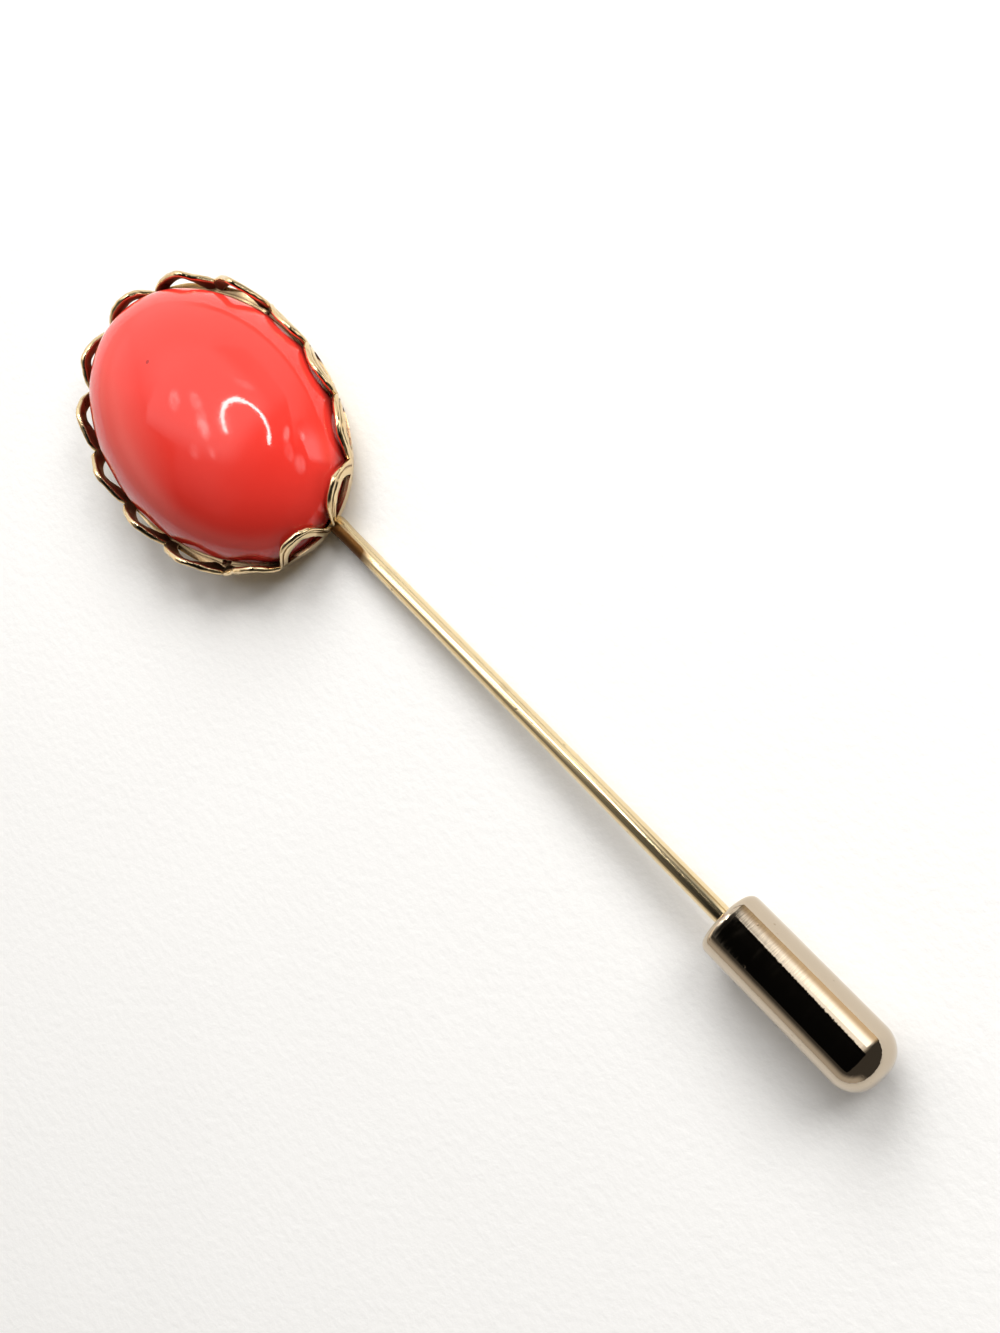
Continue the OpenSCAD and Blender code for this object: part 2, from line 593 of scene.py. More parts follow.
@dataclass(frozen=True)
class Unevenness:
    """How far the hand-set arches stand off their even places.

    Each row is one arch: its first cusp, first shoulder, tip and second shoulder, each as a shift
    along the rim, upwards and outwards in millimetres. The metal is fixed below the level `start`,
    and an arch shifts as a whole down to the depth `rigid` below its edge.
    """

    arches: tuple[tuple[Triple, Triple, Triple, Triple], ...] = (
        ((0.25, -0.60, -0.18), (0.48, 0.07, -0.13), (0.71, 0.30, 0.02), (0.47, 0.17, -0.02)),
        ((0.32, -0.14, -0.05), (0.42, -0.07, 0.02), (0.20, -0.09, 0.20), (0.22, -0.04, 0.19)),
        ((0.18, 0.04, 0.08), (0.08, 0.01, 0.05), (0.03, 0.00, 0.02), (0.01, 0.00, 0.01)),
        ((-0.01, -0.01, 0.02), (-0.06, -0.06, 0.06), (-0.14, -0.15, 0.08), (-0.26, -0.27, 0.11)),
        ((-0.33, -0.24, 0.14), (-0.41, 0.01, 0.28), (-0.41, 0.52, 0.42), (-0.44, 0.23, 0.42)),
        ((-0.20, 0.05, 0.31), (-0.27, 0.07, 0.21), (-0.41, 0.33, 0.29), (-0.02, 0.01, 0.18)),
        ((0.33, -0.15, -0.04), (0.03, 0.00, -0.05), (-0.26, 0.17, -0.06), (-0.02, 0.13, 0.05)),
        ((0.28, -0.02, 0.07), (0.35, 0.08, 0.11), (0.40, 0.18, 0.17), (0.25, 0.09, 0.11)),
        ((0.18, 0.10, 0.13), (0.06, 0.24, 0.18), (-0.05, 0.38, 0.24), (-0.02, 0.34, 0.24)),
        ((0.10, 0.43, 0.30), (-0.05, 0.35, 0.23), (-0.01, 0.42, 0.25), (-0.09, 0.23, 0.20)),
        ((0.03, 0.26, 0.22), (0.07, 0.29, 0.18), (0.16, 0.38, 0.17), (0.04, 0.15, 0.16)),
        ((0.03, 0.22, 0.22), (0.06, 0.22, 0.31), (0.26, 0.34, 0.42), (0.18, 0.10, 0.40)),
        ((0.27, -0.12, 0.42), (0.28, -0.28, 0.26), (-0.12, -0.22, 0.19), (0.02, 0.06, 0.06)),
        ((0.14, -0.30, 0.06), (0.47, 0.51, -0.26), (0.69, 0.47, -0.35), (0.63, 0.21, -0.31)),
    )
    start: float = 0.7
    rigid: float = 0.7

    def at(self, pitches: float, height: float, top: float) -> Vector:
        """The offset of one point.

        Args:
            pitches: Its place along the rim, in pitches.
            height: Its height.
            top: Height of the arches' edge above it.

        Returns:
            The offset along, upwards and outwards.
        """
        share = pitches - math.floor(pitches)
        tent = smooth(0, 1, 1 - abs(2 * share - 1))
        full = top - self.rigid * (0.3 + 0.7 * tent)
        strength = min(1.0, max(0.0, (height - self.start) / (full - self.start)))
        return self._between(4 * pitches) * strength**1.5

    def _between(self, quarters: float) -> Vector:
        """The full offset at a place along the rim, on a smooth curve through the rows.

        Args:
            quarters: The place, in quarters of a pitch.

        Returns:
            The offset.
        """
        first = math.floor(quarters)
        t = quarters - first
        count = 4 * len(self.arches)
        a, b, c, d = (
            Vector(self.arches[(first + i) % count // 4][(first + i) % 4]) for i in (-1, 0, 1, 2)
        )
        square = (2 * a - 5 * b + 4 * c - d) * t**2
        cube = (3 * b - a - 3 * c + d) * t**3
        return (2 * b + (c - a) * t + square + cube) / 2


@dataclass
class Cabochon:
    """The domed stone."""

    oval: Oval
    finish: CoralGloss
    back_level: float = 1.35
    bevel: float = 0.1
    girdle: float = 0.2
    dome: float = 4.3
    back_rounding: float = 0.03
    around: int = 224
    levels: int = 112

    def build(self) -> bpy.types.Object:
        """Builds the stone.

        Returns:
            The piece.
        """
        bm = bmesh.new()
        bmesh.ops.create_uvsphere(bm, u_segments=self.around, v_segments=self.levels, radius=1)
        everything = bm.verts[:] + bm.edges[:] + bm.faces[:]
        bmesh.ops.bisect_plane(
            bm, geom=everything, dist=1e-5, plane_no=(0, 0, -1), clear_outer=True
        )
        for drop, share in ((self.girdle, 1.0), (self.bevel, 1 - self.bevel)):
            made = bmesh.ops.extrude_edge_only(bm, edges=loose(bm))["geom"]
            ring = [v for v in made if isinstance(v, bmesh.types.BMVert)]
            bmesh.ops.scale(bm, vec=(share, share, 1), verts=ring)
            bmesh.ops.translate(bm, vec=(0, 0, -drop), verts=ring)
        for vert in bm.verts:
            vert.co = self._shaped(vert.co)
        levels = (self.back_level, self.back_level + self.bevel)
        corners = [
            e for e in bm.edges if any(all(abs(v.co.z - z) < 1e-4 for v in e.verts) for z in levels)
        ]
        bmesh.ops.bevel(
            bm,
            geom=corners,
            offset=self.back_rounding,
            segments=2,
            profile=0.5,
            affect="EDGES",
            material=-1,
        )
        return finish_piece(
            bm, "stone", self.finish.make(), "pin", ["cabochon"], crease=75
        )

    def _shaped(self, point: Vector) -> Vector:
        """Moves a point of the half ball to its place on the stone.

        Args:
            point: The point on the half ball of radius 1, or on its rim below.

        Returns:
            The point on the stone.
        """
        spread = math.hypot(point.x, point.y)
        along = math.atan2(point.y, point.x) / (2 * math.pi) * self.oval.around()
        dome_level = self.back_level + self.bevel + self.girdle
        if point.z > -1e-6:
            roundness = smooth(0.02, 0.45, point.z)
            x, y = self.oval.at(along, 0.0, roundness, spread)
            return Vector((x, y, dome_level + self.dome * point.z))
        x, y = self.oval.at(along, spread - 1)
        return Vector((x, y, dome_level + point.z))


@dataclass
class Setting:
    """The gold cup that holds the stone: bowl, seat and crown of pierced arches.

    Each of its waves has a scale and a depth. An arch turns by half_turn degrees to each side of
    its tip. The plate under the stone ends at the distance plate from the stone's outline.
    """

    oval: Oval
    finish: PlatedMetal
    unevenness: Unevenness
    sheet: float = 0.35
    bowl_r: float = 2.8
    bowl_level: float = 2.1
    seat: float = 0.95
    floor: float = 1.35
    crown: float = 2.8
    cusp: float = 1.7
    count: int = 14
    band: float = 0.76
    plate: float = -1.9
    half_turn: float = 84.0
    arch_steps: int = 56
    bowl_steps: int = 32
    waves: tuple[tuple[float, float], ...] = ((0.9, 0.035), (2.7, 0.026), (5.5, 0.010))

    @property
    def pitch(self) -> float:
        """Length of rim that one arch takes."""
        return self.oval.around() / self.count

    @property
    def arch_r(self) -> float:
        """Radius of an arch's edge."""
        rise = self.crown - self.cusp
        return ((self.pitch / 2) ** 2 + rise**2) / (2 * rise)

    @property
    def arch_z(self) -> float:
        """Height of the middle of an arch's round head."""
        return self.crown - self.arch_r

    def wall(self, height: float, depth: float = 0.0) -> float:
        """Distance of the wall outwards from the stone's outline.

        Args:
            height: Height above the table.
            depth: Depth below the outer face.

        Returns:
            The distance.
        """
        radius = self.bowl_r - depth
        return self.oval.rim - self.bowl_r + math.sqrt(radius**2 - (height - self.bowl_level) ** 2)

    def build(self) -> bpy.types.Object:
        """Builds the setting.

        Returns:
            The piece.
        """
        bm = bmesh.new()
        painted_shade = bm.verts.layers.float.new("painted_shade")
        self._arch(bm)
        first = bm.verts[:] + bm.edges[:] + bm.faces[:]
        for k in range(1, self.count):
            made = bmesh.ops.duplicate(bm, geom=first)["geom"]
            moved = [v for v in made if isinstance(v, bmesh.types.BMVert)]
            bmesh.ops.translate(bm, vec=(k * self.pitch, 0, 0), verts=moved)
        for vert in bm.verts:
            # Painted shade on the crown, and below on the bowl and seat
            vert[painted_shade] = self._crown_shade(vert.co)
            vert.co = self._bent(vert.co)
        below = len(bm.verts)
        self._bowl(bm)
        bm.verts.ensure_lookup_table()
        for vert in bm.verts[below:]:
            vert[painted_shade] = self._bowl_shade(vert.co)
            vert.co = self._rounded(vert.co.x, vert.co.y, vert.co.z)
        return finish_piece(
            bm, "setting", self.finish.make(), "pin", ["setting_and_stick"], crease=50
        )

    def _lip(self) -> list[tuple[float, float]]:
        """Section of the band over an opening: a flat band, a groove and a rounded lip.

        Returns:
            Its corners as distance from the arch's middle and height above the wall's outer face.
        """
        edge, inner = self.arch_r, self.arch_r - self.band
        return [
            (inner + 0.05, -0.325),
            (inner + 0.01, -0.28),
            (inner, -0.20),
            (inner, -0.10),
            (inner + 0.02, -0.035),
            (inner + 0.07, 0.0),
            (inner + 0.20, 0.008),
            (edge - 0.43, 0.0),
            (edge - 0.385, -0.03),
            (edge - 0.355, -0.085),
            (edge - 0.325, -0.09),
            (edge - 0.295, -0.035),
            (edge - 0.255, 0.025),
            (edge - 0.195, 0.055),
            (edge - 0.12, 0.045),
            (edge - 0.05, -0.005),
            (edge - 0.01, -0.08),
            (edge, -0.15),
            (edge - 0.015, -0.235),
            (edge - 0.07, -0.305),
            (edge - 0.15, -0.34),
            (edge - 0.40, -0.35),
            (inner + 0.20, -0.35),
            (inner + 0.10, -0.345),
        ]

    def _arch(self, bm: bmesh.types.BMesh) -> None:
        """Draws the first arch unrolled: x along the rim, y outwards, z up.

        Args:
            bm: The mesh to draw in.
        """
        hub = Vector((self.pitch / 2, 0, self.arch_z))
        reach = math.radians(self.half_turn)
        section = outline(bm, [hub + Vector((0, w, r)) for r, w in self._lip()], True)
        corners = [v for v in section if isinstance(v, bmesh.types.BMVert)]
        bmesh.ops.rotate(bm, cent=hub, matrix=Matrix.Rotation(-reach, 3, "Y"), verts=corners)
        bmesh.ops.spin(
            bm, geom=section, cent=hub, axis=(0, 1, 0), angle=2 * reach, steps=self.arch_steps
        )
        for point, away in (
            ((0, 0, 0), (-1, 0, 0)),
            ((self.pitch, 0, 0), (1, 0, 0)),
            ((0, 0, self.floor), (0, 0, -1)),
        ):
            everything = bm.verts[:] + bm.edges[:] + bm.faces[:]
            bmesh.ops.bisect_plane(
                bm, geom=everything, dist=1e-4, plane_co=point, plane_no=away, clear_outer=True
            )

    def _crown_shade(self, flat: Vector) -> float:
        """How much painted shade lies at a point of the unrolled crown.

        Args:
            flat: The point: along the rim, outwards, up.

        Returns:
            The share, from 0 to 1.
        """
        side = (flat.x % self.pitch) - self.pitch / 2
        reach = math.hypot(side, flat.z - self.arch_z)
        # Painted shade: dark in the groove, on the face towards the stone and along each opening's
        # edge
        groove = math.exp(-(((reach - self.arch_r + 0.34) / 0.05) ** 2)) if flat.y > -0.2 else 0.0
        inside = 0.95 * smooth(-0.22, -0.33, flat.y)
        edge = 0.5 * smooth(self.arch_r - self.band + 0.06, self.arch_r - self.band, reach)
        return min(1.0, max(groove, inside, edge))

    def _bowl_shade(self, flat: Vector) -> float:
        """How much painted shade lies at a point of the unrolled bowl and seat.

        Args:
            flat: The point: along the rim, outwards, up.

        Returns:
            The share, from 0 to 1.
        """
        # Painted shade: inside under the stone, and outside darker towards the table
        if flat.y < self.wall(flat.z, 0.1):
            return 0.9 * smooth(self.floor - 0.12, self.floor, flat.z)
        return 0.25 * smooth(0.5, 0.0, flat.z)

    def _bent(self, flat: Vector) -> Vector:
        """Bends a point of the unrolled crown onto the bowl and round the oval.

        Args:
            flat: The point: along the rim, outwards, up.

        Returns:
            Its place on the pin.
        """
        fade = smooth(self.floor, self.floor + 0.45, flat.z)
        depth = flat.y if flat.y < -0.17 else flat.y * fade
        rise = (flat.z - self.bowl_level) / self.bowl_r
        radius = self.bowl_r + depth
        out = self.oval.rim - self.bowl_r + radius * math.sqrt(1 - rise**2)
        return self._rounded(flat.x, out, self.bowl_level + radius * rise)

    def _rounded(self, along: float, out: float, height: float) -> Vector:
        """Places a point round the oval, with the arches' unevenness.

        Args:
            along: Distance along the rim.
            out: Distance outwards from the stone's outline.
            height: Height above the table.

        Returns:
            Its place on the pin.
        """
        side = (along % self.pitch) - self.pitch / 2
        top = self.arch_z + math.sqrt(self.arch_r**2 - side**2)
        off = self.unevenness.at(along / self.pitch, height, top)
        x, y = self.oval.at(along + off.x, out + off.z)
        place = Vector((x, y, height + off.y))
        strength = smooth(1.2, 2.0, height)
        wave = Vector()
        for scale, depth in self.waves:
            wave += noise.noise_vector(place * scale) * depth
        return place + wave * strength

    def _bowl(self, bm: bmesh.types.BMesh) -> None:
        """Draws the bowl's wall and the seat unrolled: x along the rim, y outwards, z up.

        Args:
            bm: The mesh to draw in.
        """
        top = self.seat + self.sheet
        inside, foot = self.wall(0, self.sheet), self.wall(0)
        points = [(self.plate, self.seat), (self.wall(0.95, self.sheet) - 0.30, self.seat)]
        points += [(self.wall(0.9, self.sheet) - 0.10, 0.93)]
        points += [(self.wall(z, self.sheet), z) for z in (0.8, 0.65, 0.5, 0.35, 0.2, 0.08)]
        points += [(inside + 0.03, 0.012), (inside + 0.09, 0.0)]
        points += [(foot - 0.10, 0.0), (foot - 0.02, 0.018)]
        levels = (0.06, 0.15, 0.3, 0.45, 0.6, 0.75, 0.9, 1.05, 1.2, self.floor)
        points += [(self.wall(z), z) for z in levels]
        points += [(self.wall(z, self.sheet), z) for z in (self.floor, top)]
        points += [(self.plate, top)]
        section = outline(bm, [Vector((0, o, z)) for o, z in points], False)
        steps = self.count * self.bowl_steps
        length = self.oval.around()
        bmesh.ops.spin(
            bm,
            geom=section,
            cent=(0, 0, 0),
            axis=(0, 0, 1),
            dvec=(length / steps, 0, 0),
            angle=0,
            steps=steps,
        )


@dataclass
class Stick:
    """The wire under the seat, its rising length, its point and the solder that holds it.

    Each lump of solder has its middle along x, its half length and its half width.
    """

    finish: PlatedMetal
    radius: float = 0.5
    height: float = 0.53
    side: float = 0.6
    middle_x: float = Oval.middle[0]
    under_seat: float = 5.0
    bend_x: float = -10.669
    length: float = 39.369
    point: float = 8.1
    tip_r: float = 0.06
    lift: float = 2.3195
    solder: tuple[Triple, ...] = ((-16.0, 2.6, 1.0), (-20.6, 3.1, 1.15), (-24.0, 1.9, 0.95))
    solder_level: float = 0.93
    solder_depth: float = 0.24
    around: int = 56
    taper_steps: int = 24

    def direction(self) -> Vector:
        """The way the stick runs past its bend."""
        rise = math.radians(self.lift)
        return Vector((math.cos(rise), 0, math.sin(rise)))

    def frame_at(self, distance: float, radius: float) -> Matrix:
        """Where a ring of the wire stands.

        Args:
            distance: Distance from the bend, below 0 under the seat.
            radius: The ring's radius.

        Returns:
            The matrix that takes a unit ring there.
        """
        blend = smooth(-0.5, 0.5, distance)
        level = Vector((1, 0, 0))
        way = level.lerp(self.direction(), blend).normalized()
        centre = Vector((self.bend_x, self.side, self.height))
        centre += level * min(distance, 0.0) + self.direction() * max(distance, 0.0)
        turned = way.to_track_quat("Z", "Y").to_matrix().to_4x4()
        return Matrix.Translation(centre) @ turned @ Matrix.Diagonal((radius, radius, 1, 1))

    def stations(self) -> list[tuple[float, float]]:
        """Distances from the bend and radii, from the far end under the seat to the point.

        Returns:
            The stations in order.
        """
        start = self.middle_x - self.under_seat - self.bend_x
        taper = self.length - self.point
        made = [(start, 0.30), (start + 0.03, 0.42), (start + 0.10, 0.48)]
        made += [(start + 0.2, self.radius)]
        made += [(start + 1 + i, self.radius) for i in range(13)]
        made += [(d, self.radius) for d in (-0.5, -0.3, -0.1, 0.1)]
        made += [(0.3, 0.53), (0.55, 0.528), (0.8, 0.518), (1.05, 0.507), (1.3, self.radius)]
        made += [(2.0 + i * (taper - 2.3) / 40, self.radius) for i in range(41)]
        for i in range(1, self.taper_steps + 1):
            share = i / self.taper_steps
            thinned = self.radius + share * (self.tip_r - self.radius)
            made.append((taper + share * (self.point - 0.05), thinned))
        made += [(self.length - 0.02, self.tip_r * 0.8), (self.length, self.tip_r * 0.35)]
        return made

    def build(self) -> bpy.types.Object:
        """Builds the stick.

        Returns:
            The piece.
        """
        bm = bmesh.new()
        painted_shade = bm.verts.layers.float.new("painted_shade")
        stations = self.stations()
        here = self.frame_at(*stations[0])
        bmesh.ops.create_circle(bm, cap_ends=False, radius=1, segments=self.around, matrix=here)
        ring = bm.edges[:]
        for station in stations[1:]:
            there = self.frame_at(*station)
            made = bmesh.ops.extrude_edge_only(bm, edges=ring)["geom"]
            ring = [e for e in made if isinstance(e, bmesh.types.BMEdge)]
            moved = [v for v in made if isinstance(v, bmesh.types.BMVert)]
            bmesh.ops.transform(bm, matrix=there @ here.inverted(), verts=moved)
            for vert in moved:
                # Painted dark reflection of the setting, carried on the wire's points
                vert[painted_shade] = self._stick_dark_reflection(vert.co)
            here = there
        self._solder(bm)
        return finish_piece(
            bm, "stick", self.finish.make(), "pin", ["setting_and_stick"], crease=40
        )

    def _stick_dark_reflection(self, place: Vector) -> float:
        """How much painted dark reflection of the setting lies at a point of the wire, all but its
        upper side.

        Args:
            place: The point.

        Returns:
            The share, from 0 to 1.
        """
        past = place.x - self.bend_x
        lower = smooth(0.30, 0.12, place.y - self.side)
        # Painted reflection: the wire darkens up to a little past its bend, mostly away from its
        # upper side
        return 1.5 * smooth(4.3, 2.6, past) * (0.15 + 0.85 * lower)

    def _solder(self, bm: bmesh.types.BMesh) -> None:
        """Lays the run of solder between the wire and the seat.

        Args:
            bm: The mesh to draw in.
        """
        for x, long, wide in self.solder:
            place = Matrix.Translation((x, self.side, self.solder_level))
            made = bmesh.ops.create_uvsphere(
                bm,
                u_segments=40,
                v_segments=20,
                radius=1,
                matrix=place @ Matrix.Diagonal((long, wide, self.solder_depth, 1)),
            )["verts"]
            for vert in made:
                wave = noise.noise_vector(vert.co * 0.8)
                vert.co += Vector((0.25 * wave.x, 0.18 * wave.y, 0.03 * wave.z))


@dataclass
class Clutch:
    """The closed cap that slides over the point."""

    finish: PlatedMetal
    stick: Stick
    start: float = 31.569
    radius: float = 1.825
    length: float = 10.1
    shoulder: float = 0.4
    nose: float = 1.5
    bore: float = 0.56
    depth: float = 8.4
    around: int = 128

    def profile(self) -> list[tuple[float, float]]:
        """Half the clutch's section, from the bottom of the bore round to the nose.

        Returns:
            Its corners as distance from the axis and distance from the flat end.
        """
        bore = self.bore
        made = [(0.0, self.depth), (bore - 0.05, self.depth), (bore, self.depth - 0.05)]
        made += [(bore, 4.0), (bore, 0.25), (bore + 0.02, 0.16), (bore + 0.10, 0.07)]
        made += [(bore + 0.17, 0.05), (bore + 0.45, 0.04)]
        made += [(self.radius - 0.62, 0.03), (self.radius - 0.54, 0.012)]
        hub = self.radius - self.shoulder
        made += rounding(hub, self.shoulder, self.shoulder, range(-90, 1, 10))
        made += [(self.radius, self.shoulder + 0.3 + 0.9 * i) for i in range(9)]
        hub = self.radius - self.nose
        base = self.length - self.nose
        made += [(self.radius, base - 0.15)]
        made += rounding(hub, base, self.nose, range(0, 90, 5))
        made += [(hub, self.length - 0.003)]
        made += [(hub * share, self.length) for share in (0.6, 0.25, 0.0)]
        return made

    def build(self) -> bpy.types.Object:
        """Builds the clutch.

        Returns:
            The piece.
        """
        bm = bmesh.new()
        # The plating reads this layer, which stays 0: the clutch has no painted shade
        bm.verts.layers.float.new("painted_shade")
        section = outline(bm, [Vector((r, 0, z)) for r, z in self.profile()], False)
        bmesh.ops.spin(
            bm,
            geom=section,
            cent=(0, 0, 0),
            axis=(0, 0, 1),
            angle=2 * math.pi,
            steps=self.around,
            use_merge=True,
        )
        place = self.stick.frame_at(self.start, 1.0)
        bmesh.ops.transform(bm, matrix=place, verts=bm.verts[:])
        return finish_piece(
            bm, "clutch_cap", self.finish.make(), "clutch", ["clutch"], crease=35
        )


# ---- camera and light


@dataclass(frozen=True)
class PhotoCamera:
    """The photograph's viewpoint, in millimetres and radians."""

    place: Triple = (32.925, 20.762, 72.052)
    elevation: float = 1.1066
    azimuth: float = 0.5735
    roll: float = 1.4193
    lens: float = 40.51

    def build(self) -> bpy.types.Object:
        """Sets the camera up and makes it the scene's own.

        Returns:
            The camera.
        """
        flat = math.cos(self.elevation)
        ahead = -Vector(
            (flat * math.cos(self.azimuth), flat * math.sin(self.azimuth), math.sin(self.elevation))
        )
        right = ahead.cross(Vector((0, 0, 1))).normalized()
        down = ahead.cross(right)
        across = right * math.cos(self.roll) + down * math.sin(self.roll)
        below = down * math.cos(self.roll) - right * math.sin(self.roll)
        turned = Matrix((across, -below, -ahead)).transposed().to_4x4()
        data = bpy.data.cameras.new("camera")
        data.lens = self.lens
        data.sensor_width = 36
        data.clip_start, data.clip_end = 0.001, 20
        made = bpy.data.objects.new("camera", data)
        made.matrix_world = Matrix.Translation(Vector(self.place) * MM) @ turned
        bpy.context.scene.collection.objects.link(made)
        bpy.context.scene.camera = made
        return made


@dataclass(frozen=True)
class KeyLight:
    """A soft disc of light, in metres, that reaches the pin and isn't mirrored in it."""

    name: str
    way: Triple
    brightness: float
    size: float
    distance: float
    colour: Colour = (1.0, 0.995, 0.985)

    def build(self) -> bpy.types.Object:
        """Hangs the light.

        Returns:
            The light.
        """
        way = Vector(self.way).normalized()
        data = bpy.data.lights.new(self.name, "AREA")
        data.shape = "DISK"
        data.size = self.size
        data.energy = self.brightness * math.pi**2 * self.size**2 / 4
        data.color = self.colour
        made = bpy.data.objects.new(self.name, data)
        made.rotation_mode = "QUATERNION"
        made.rotation_quaternion = way.to_track_quat("Z", "Y")
        made.location = way * self.distance
        made.visible_camera = False
        made.visible_glossy = False
        bpy.context.scene.collection.objects.link(made)
        return made


@dataclass(frozen=True)
class Glint:
    """A faint round or oval patch of light above the stone, in millimetres."""

    place: Triple
    half_length: Triple
    half_width: Triple
    brightness: float


@dataclass
class Studio:
    """Floor, sky and lights, in millimetres and degrees.

    The ring, the plate, the strip and the glints are there for polished surfaces alone.
    """

    sheet: PaleSheet
    keys: tuple[KeyLight, ...]
    floor_reach: float = 1500.0
    ring_place: Triple = (-26.4, 14.6, 70.0)
    ring_faces: Triple = (-20.5, 0.0, 5.0)
    ring_r: float = 17.2
    ring_tube: float = 1.15
    ring_from: float = 15.0
    ring_sweep: float = 228.0
    ring_brightness: float = 26.0
    glints: tuple[Glint, ...] = (
        Glint((-51.2, -7.1, 45.0), (3.4, -4.5, 0.0), (2.9, 2.7, 0.0), 2.4),
        Glint((-43.3, 0.2, 45.0), (4.8, -1.7, 0.0), (1.1, 3.2, 0.0), 2.4),
        Glint((-35.8, -4.8, 45.0), (4.5, -4.6, 0.0), (1.8, 2.8, 0.0), 4.5),
        Glint((-27.9, -11.8, 45.0), (2.1, -2.2, 0.0), (1.0, 1.5, 0.0), 2.1),
        Glint((-34.0, -17.8, 45.0), (2.2, -2.7, 0.0), (1.8, 2.8, 0.0), 1.5),
        Glint((-10.5, 16.5, 25.0), (1.7, -3.6, 0.0), (1.1, 2.0, 0.0), 4.5),
        Glint((-6.4, 12.6, 25.0), (3.6, -2.2, 0.0), (1.4, 2.4, 0.0), 1.8),
        Glint((-3.5, 28.2, 25.0), (1.4, -2.5, 0.0), (1.7, 3.9, 0.0), 3.6),
        Glint((1.7, 14.7, 25.0), (4.8, -2.1, 0.0), (3.6, 4.8, 0.0), 2.0),
        Glint((-36.2, 27.1, 45.0), (5.0, 4.4, 0.0), (-1.3, 3.2, 0.0), 1.2),
    )
    plate_level: float = 77.0
    plate_corners: tuple[tuple[float, float], ...] = (
        (-62.0, -92.0),
        (65.0, -92.0),
        (65.0, 45.0),
        (20.0, 45.0),
        (-27.0, 105.0),
        (-100.0, 105.0),
        (-100.0, -55.0),
        (-62.0, -40.0),
    )
    strip_place: Triple = (22.0, 62.0, 31.0)
    strip_size: Triple = (50.0, 2.0, 61.0)

    def build(self) -> None:
        """Sets everything up."""
        self._floor()
        self._ring()
        self._plate()
        self._strip()
        self._glints()
        self._sky()
        for key in self.keys:
            key.build()
        bpy.context.scene.view_settings.view_transform = "Standard"

    def _show(
        self, bm: bmesh.types.BMesh, name: str, material: bpy.types.Material
    ) -> bpy.types.Object:
        """Adds a thing of the studio that isn't part of the pin.

        Args:
            bm: Its mesh, in millimetres, which is used up.
            name: Its name.
            material: Its material.

        Returns:
            The object.
        """
        bmesh.ops.recalc_face_normals(bm, faces=bm.faces[:])
        bmesh.ops.scale(bm, vec=(MM, MM, MM), verts=bm.verts[:])
        mesh = bpy.data.meshes.new(name)
        bm.to_mesh(mesh)
        bm.free()
        mesh.materials.append(material)
        made = bpy.data.objects.new(name, mesh)
        bpy.context.scene.collection.objects.link(made)
        return made

    def _hang(self, bm: bmesh.types.BMesh, name: str, material: bpy.types.Material) -> None:
        """Adds a thing of the studio that is seen in polished surfaces alone.

        Args:
            bm: Its mesh, in millimetres, which is used up.
            name: Its name.
            material: Its material.
        """
        made = self._show(bm, name, material)
        made.visible_camera = False
        made.visible_diffuse = False
        made.visible_shadow = False

    def _floor(self) -> None:
        """Lays the white sheet."""
        bm = bmesh.new()
        bmesh.ops.create_grid(bm, x_segments=8, y_segments=8, size=self.floor_reach)
        self._show(bm, "table_sheet", self.sheet.make())

    def _ring(self) -> None:
        """Hangs the open ring of light above the stone."""
        bm = bmesh.new()
        tube = bmesh.ops.create_circle(
            bm,
            cap_ends=True,
            radius=self.ring_tube,
            segments=16,
            matrix=Matrix.Translation((self.ring_r, 0, 0)) @ Matrix.Rotation(math.pi / 2, 4, "X"),
        )["verts"]
        bmesh.ops.spin(
            bm,
            geom=tube + bm.edges[:] + bm.faces[:],
            cent=(0, 0, 0),
            axis=(0, 0, 1),
            angle=math.radians(self.ring_sweep),
            steps=96,
        )
        way = (Vector(self.ring_place) - Vector(self.ring_faces)).normalized()
        start = Matrix.Rotation(math.radians(self.ring_from), 4, "Z")
        turned = Vector((0, 0, 1)).rotation_difference(way).to_matrix().to_4x4()
        place = Matrix.Translation(self.ring_place) @ turned @ start
        bmesh.ops.transform(bm, matrix=place, verts=bm.verts[:])
        self._hang(bm, "ring_lamp", self._glow("ring_glow", self._ring_tone))

    def _glow(self, name: str, make: Callable[[Recipe], dict]) -> bpy.types.Material:
        """A material that only shines.

        Args:
            name: The material's name.
            make: Gives the colour and strength for a recipe.

        Returns:
            The material.
        """
        glow = bpy.data.materials.new(name)
        glow.use_nodes = True
        recipe = Recipe(glow.node_tree)
        lamp = recipe.add("ShaderNodeEmission", {}, make(recipe))
        recipe.add("ShaderNodeOutputMaterial", {}, {"Surface": Value(recipe, lamp.outputs[0])})
        return glow

    def _ring_tone(self, recipe: Recipe) -> dict:
        """Sockets of the ring's light.

        Args:
            recipe: The light's recipe; not used.

        Returns:
            The sockets by name.
        """
        return {"Color": (1, 0.97, 0.94, 1), "Strength": self.ring_brightness}

    def _plate_tone(self, recipe: Recipe) -> dict:
        """Sockets of the plate: black over the clutch, grey further on and lit over the stone.

        Args:
            recipe: The plate's recipe.

        Returns:
            The sockets by name.
        """
        x, y, _ = recipe.split(recipe.place())
        left = (0 - x).eased(0.016, 0.034)
        lit = (y - 0.5 * x).eased(-0.014, 0.006)
        sky = left * lit * (1.35 - 0.65 * y.eased(0.040, 0.065))
        grey = 0.11 * (0 - x).eased(-0.001, 0.014)
        grey += 0.25 * left * (1 - lit) * y.eased(-0.090, -0.030)
        return {"Color": (1, 0.97, 0.94, 1), "Strength": 0.003 + grey + sky}

